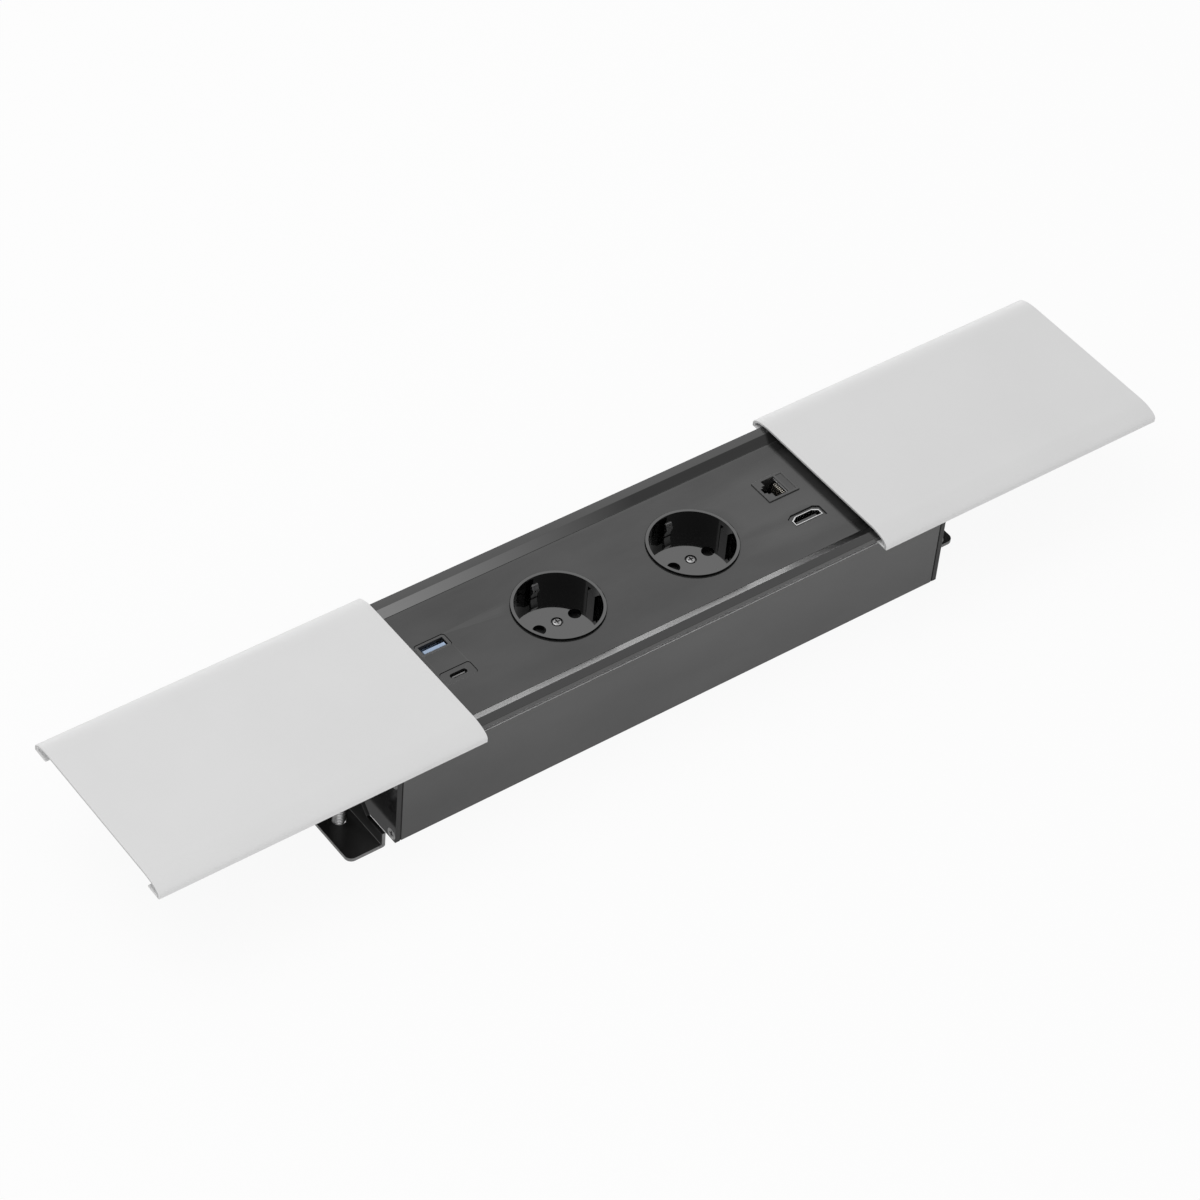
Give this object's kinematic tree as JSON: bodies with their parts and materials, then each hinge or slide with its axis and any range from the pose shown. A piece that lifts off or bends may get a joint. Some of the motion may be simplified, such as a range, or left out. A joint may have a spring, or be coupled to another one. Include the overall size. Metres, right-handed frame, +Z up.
{
  "type": "in-desk power module",
  "caption": "Long in-desk power module with earthed sockets, charging ports, network and video ports, under sliding covers at both ends, here slid open.",
  "frame": {"origin": "middle of the housing's underside, which is the bottom of the whole part", "axes": "+X along the housing towards the network and video ports, -Y towards the front, +Z up out of the desk"},
  "size_m": [0.539, 0.098, 0.051],
  "materials": {
    "housing": "black anodised, fine satin",
    "cover_paint": "light grey satin paint",
    "bracket_paint": "black powder coat",
    "black_steel": "blackened",
    "zinc_steel": "zinc plated",
    "seal_rubber": "matt",
    "socket_plastic": "light grey, fine satin",
    "core_plastic": "black",
    "shutter_plastic": "dark grey",
    "glide_plastic": "natural",
    "black_plastic": "black",
    "tongue_plastic": "pale blue",
    "contact_metal": "nickel plated",
    "brass_parts": "plain",
    "board": "green solder mask"
  },
  "bodies": {
    "base": {"board_screws": "zinc_steel", "bracket_screws_left": "black_steel", "bracket_screws_right": "black_steel", "bracket_spacers_left": "zinc_steel", "bracket_spacers_right": "zinc_steel", "busbar_posts": "core_plastic", "centre_screw_left": "zinc_steel", "centre_screw_right": "zinc_steel", "charger_board": "board", "charger_module": "black_plastic", "charger_pad": "seal_rubber", "clamp_bracket_left": "bracket_paint", "clamp_bracket_right": "bracket_paint", "clamp_pads_left": "seal_rubber", "clamp_pads_right": "seal_rubber", "clamp_screws_left": "zinc_steel", "clamp_screws_right": "zinc_steel", "earth_busbar": "brass_parts", "earth_strap_left": "contact_metal", "earth_strap_right": "contact_metal", "end_plate_left": "housing", "end_plate_right": "housing", "end_screws_left": "black_steel", "end_screws_right": "black_steel", "end_seal_left": "seal_rubber", "end_seal_right": "seal_rubber", "housing_profile": "housing", "inlet_pins": "contact_metal", "inlet_screws": "black_steel", "live_busbar": "brass_parts", "mains_inlet": "black_plastic", "network_contacts": "brass_parts", "network_jack": "black_plastic", "network_shield": "contact_metal", "neutral_busbar": "brass_parts", "panel_screws": "black_steel", "rail_pads_left": "seal_rubber", "rail_pads_right": "seal_rubber", "socket_core_left": "core_plastic", "socket_core_right": "core_plastic", "socket_insert_left": "socket_plastic", "socket_insert_right": "socket_plastic", "socket_latches_left": "zinc_steel", "socket_latches_right": "zinc_steel", "socket_panel": "housing", "usb_a_bezel": "black_plastic", "usb_a_shell": "contact_metal", "usb_a_tongue": "tongue_plastic", "usb_c_bezel": "black_plastic", "usb_c_shell": "contact_metal", "usb_c_tongue": "tongue_plastic", "video_block": "black_plastic", "video_shell": "contact_metal", "video_tongue": "tongue_plastic"},
    "left_cover": {"cover_left": "cover_paint", "cover_glides_left": "glide_plastic"},
    "right_cover": {"cover_right": "cover_paint", "cover_glides_right": "glide_plastic"},
    "left_shutter": {"shutter_left": "shutter_plastic"},
    "right_shutter": {"shutter_right": "shutter_plastic"}
  },
  "joints": [
    {"name": "left_cover_slide", "type": "slide", "parent": "base", "child": "left_cover", "axis": [1, 0, 0], "range_m": [0, 0.1081]},
    {"name": "right_cover_slide", "type": "slide", "parent": "base", "child": "right_cover", "axis": [-1, 0, 0], "range_m": [0, 0.1081]},
    {"name": "left_shutter_turn", "type": "hinge", "parent": "base", "child": "left_shutter", "pos_m": [-0.0367, 0, 0.0328], "axis": [0, 0, -1], "range_deg": [0, 45], "stiffness_Nm_per_rad": 0.0005, "springref_deg": -11.46},
    {"name": "right_shutter_turn", "type": "hinge", "parent": "base", "child": "right_shutter", "pos_m": [0.0367, 0, 0.0328], "axis": [0, 0, -1], "range_deg": [0, 45], "stiffness_Nm_per_rad": 0.0005, "springref_deg": -11.46}
  ]
}
